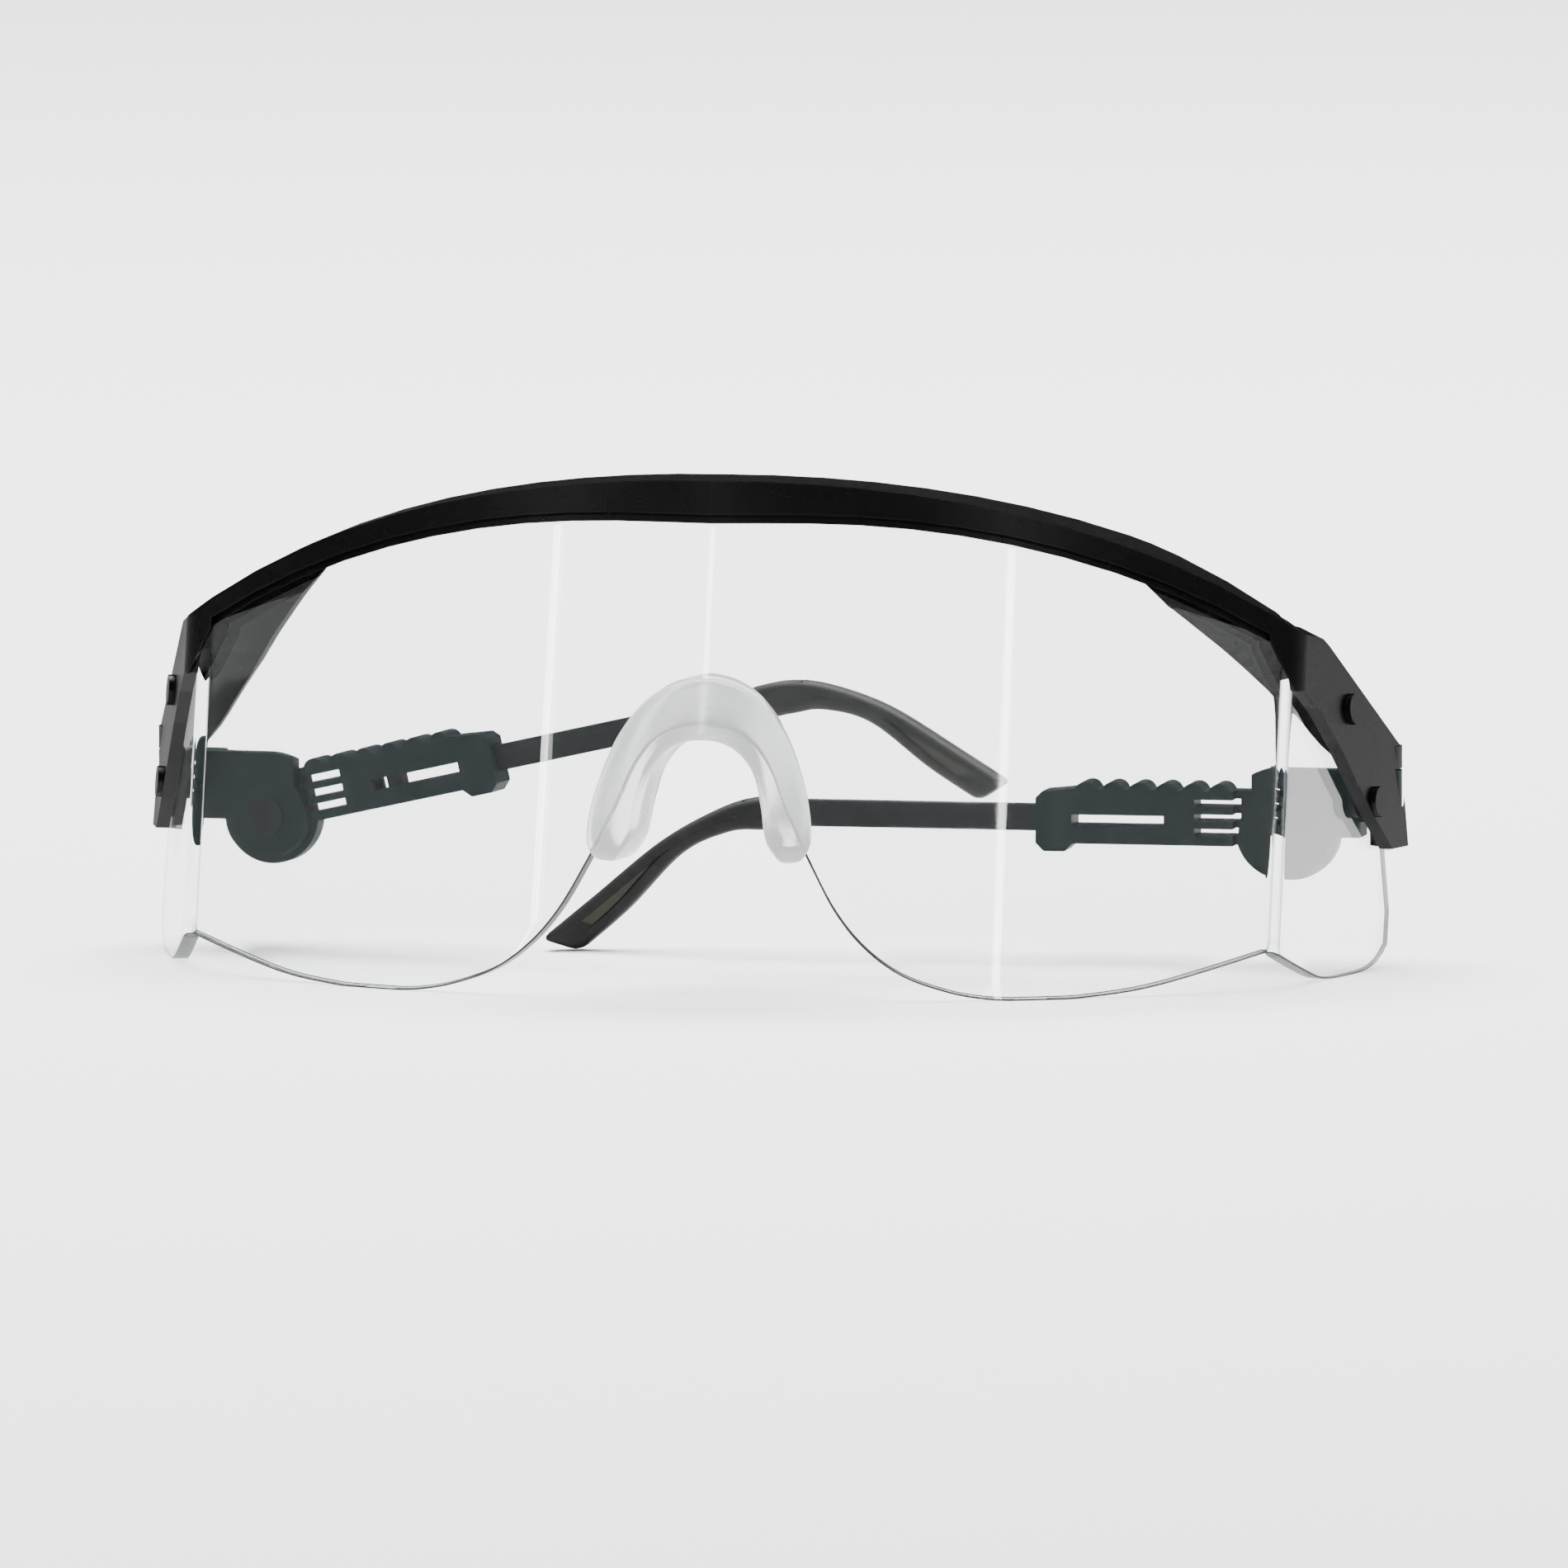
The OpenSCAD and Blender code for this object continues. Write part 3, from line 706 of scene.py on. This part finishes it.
def build_ear_pad(name):
    place = temple_frame(name)
    upper, lower = catmull(PAD_UPPER, PAD_STEPS), catmull(PAD_LOWER, PAD_STEPS)
    last = len(upper) - 1
    rounded_ends = {0: 0.86, 1: 0.97, last - 1: 0.96, last: 0.8}
    rings = []
    for k, (high, low) in enumerate(zip(upper, lower)):
        fade_in = smoothstep((k - PANEL_START) / PANEL_FADE)
        fade_out = smoothstep((last - PANEL_END - k) / PANEL_FADE)
        recess = PANEL_DEPTH * fade_in * fade_out
        rings.append(pad_section(place, low, high, recess, rounded_ends.get(k, 1.0)))
    points = len(rings[0])
    sunk = [i * points + j for i in range(PAINT_START, last - PAINT_END) for j in PANEL_SIDES]
    pad = make_object(f"soft_ear_pad_{name}", *loft(rings), PAD_SMOOTH, sunk)
    pad.data.materials.append(RUBBER)
    pad.data.materials.append(PANEL)
    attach(pad, f"tip_{name}")
    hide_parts(f"ear_pad_{name}")


# ---------------------------------------------------------------- the pieces that keep their CAD shape
SHARP_ANGLE = math.radians(24)
FLAT_ANGLE = math.radians(0.1)
CAD_EDGE_ANGLE = 28


def shading_group():
    """Geometry nodes that shade a CAD node smoothly, except over its real corners."""
    tree = bpy.data.node_groups.new("smooth_curves", "GeometryNodeTree")
    tree.interface.new_socket("Geometry", in_out="INPUT", socket_type="NodeSocketGeometry")
    tree.interface.new_socket("Geometry", in_out="OUTPUT", socket_type="NodeSocketGeometry")
    start = tree.nodes.new("NodeGroupInput")
    end = tree.nodes.new("NodeGroupOutput")
    drop = tree.nodes.new("GeometryNodeRemoveAttribute")
    drop.inputs["Name"].default_value = "custom_normal"
    faces = tree.nodes.new("GeometryNodeSetShadeSmooth")
    faces.domain = "FACE"
    edges = tree.nodes.new("GeometryNodeSetShadeSmooth")
    edges.domain = "EDGE"
    edges.inputs["Shade Smooth"].default_value = False
    angle = tree.nodes.new("GeometryNodeInputMeshEdgeAngle")
    corner = tree.nodes.new("FunctionNodeCompare")
    corner.operation = "GREATER_THAN"
    corner.inputs["B"].default_value = SHARP_ANGLE
    tree.links.new(start.outputs[0], drop.inputs["Geometry"])
    tree.links.new(drop.outputs["Geometry"], faces.inputs["Geometry"])
    tree.links.new(faces.outputs["Geometry"], edges.inputs["Geometry"])
    tree.links.new(angle.outputs["Unsigned Angle"], corner.inputs["A"])
    tree.links.new(corner.outputs["Result"], edges.inputs["Selection"])
    tree.links.new(edges.outputs["Geometry"], end.inputs[0])
    return tree


SMOOTH_CURVES = shading_group()


def soften(name, width, mat):
    """A CAD node with its flat faces joined up, its edges rounded, and its material."""
    obj = frame["nodes"][name]
    shading = obj.modifiers.new("shading", "NODES")
    shading.node_group = SMOOTH_CURVES
    flat = obj.modifiers.new("flat", "DECIMATE")
    flat.decimate_type = "DISSOLVE"
    flat.angle_limit = FLAT_ANGLE
    bevel(obj, width, 2, CAD_EDGE_ANGLE)
    paint(obj, mat)


build_lens()
soften("brow_guard", 0.25, BLACK)
build_nose_pad()
for name in SIDES:
    soften(f"hinge_block_{name}", 0.35, TEAL_BLACK)
    soften(f"temple_arm_{name}", 0.3, TEAL_BLACK)
    soften(f"temple_slider_{name}", 0.25, SLIDER)
    build_ear_pad(name)
    soften(f"tilt_rivet_{name}", 0.2, SLIDER)
    soften(f"lens_rivets_{name}", 0.2, BLACK)
    soften(f"hinge_pin_{name}", 0.15, STEEL)

# ---------------------------------------------------------------- floor, light and camera
AZIMUTH = math.radians(10)
ELEVATION = math.radians(5.5)
FRAME_WIDTH = 0.1925     # what the picture spans at the part, in metres
DISTANCE = 4.0
SENSOR = 36
CLIP_END = 20
FLOOR_R, FLOOR_BEND_R, FLOOR_TOP = 5.0, 1.5, 5.0
FLOOR_BEND_STEPS, FLOOR_AROUND = 8, 64
FLOOR_SMOOTH = 60
FLOOR_TINT, FLOOR_ROUGHNESS = (0.92, 0.92, 0.92), 0.75
SKY_TINT, SKY_STRENGTH = (0.9, 0.93, 1.0), 0.18
MIDDLE = (0, 0, 0.03)
# Each lamp's name, place, target, width and height in metres, and power in watts. The strips and the
# ridge light give the narrow streaks in the lens.
STRIP = (0.022, 1.1)
LAMPS = (
    ("top_light", (-0.2, 0.3, 1.7), MIDDLE, (1.8, 1.4), 120),
    ("strip_left", (-1.02, -1.1, 0.75), MIDDLE, STRIP, 2.0),
    ("strip_right", (0.88, -1.22, 0.75), MIDDLE, STRIP, 2.0),
    ("ridge_light", (-0.26, -1.48, 0.8), MIDDLE, (0.15, 0.8), 8.0),
    ("rear_light", (0, 1.3, 2.0), (0, 1.6, 0), (2.4, 1.0), 95),
)
# The camera looks a little to the right of the part's middle, and below it.
low, high = (Vector(c) for c in cad_bounds)
AIM = (low + high) / 2 + Vector((5.5, 0, -7.7)) * MM


def build_floor():
    """A wide pale floor that curves up all round, far outside every camera's place."""
    profile = [(FLOOR_R, 0.0)]
    for k in range(1, FLOOR_BEND_STEPS + 1):
        a = math.radians(90 * k / FLOOR_BEND_STEPS)
        profile.append((FLOOR_R + FLOOR_BEND_R * math.sin(a), FLOOR_BEND_R * (1 - math.cos(a))))
    profile.append((FLOOR_R + FLOOR_BEND_R, FLOOR_TOP))
    around = FLOOR_AROUND
    turns = [2 * math.pi * k / around for k in range(around)]
    verts = [(0, 0, 0)] + [(r * math.cos(a), r * math.sin(a), z) for r, z in profile for a in turns]
    faces = [(0, 1 + k, 1 + (k + 1) % around) for k in range(around)]
    for i in range(len(profile) - 1):
        base = 1 + i * around
        for k in range(around):
            n = (k + 1) % around
            faces.append((base + k, base + around + k, base + around + n, base + n))
    floor = make_object("floor", verts, faces, FLOOR_SMOOTH)
    mat, _, shader = new_material("floor_paper")
    shader.inputs["Base Color"].default_value = (*FLOOR_TINT, 1)
    shader.inputs["Roughness"].default_value = FLOOR_ROUGHNESS
    floor.data.materials.append(mat)


def area_light(name, place, target, size, power):
    """A soft rectangular lamp at a place, turned to its target."""
    data = bpy.data.lights.new(name, "AREA")
    data.shape = "RECTANGLE"
    data.size, data.size_y = size
    data.energy = power
    lamp = bpy.data.objects.new(name, data)
    lamp.location = place
    lamp.rotation_mode = "QUATERNION"
    lamp.rotation_quaternion = (Vector(target) - Vector(place)).to_track_quat("-Z", "Y")
    bpy.context.scene.collection.objects.link(lamp)


def build_light():
    world = bpy.data.worlds.new("studio")
    world.use_nodes = True
    sky = world.node_tree.nodes["Background"]
    sky.inputs["Color"].default_value = (*SKY_TINT, 1)
    sky.inputs["Strength"].default_value = SKY_STRENGTH
    bpy.context.scene.world = world
    for lamp in LAMPS:
        area_light(*lamp)


def build_camera():
    level = math.cos(ELEVATION)
    back = Vector((math.sin(AZIMUTH) * level, -math.cos(AZIMUTH) * level, math.sin(ELEVATION)))
    data = bpy.data.cameras.new("camera")
    data.sensor_width = SENSOR
    data.lens = SENSOR * DISTANCE / FRAME_WIDTH
    data.clip_end = CLIP_END
    camera = bpy.data.objects.new("camera", data)
    camera.location = AIM + back * DISTANCE
    camera.rotation_mode = "QUATERNION"
    camera.rotation_quaternion = (-back).to_track_quat("-Z", "Y")
    bpy.context.scene.collection.objects.link(camera)
    bpy.context.scene.camera = camera


build_floor()
build_light()
build_camera()
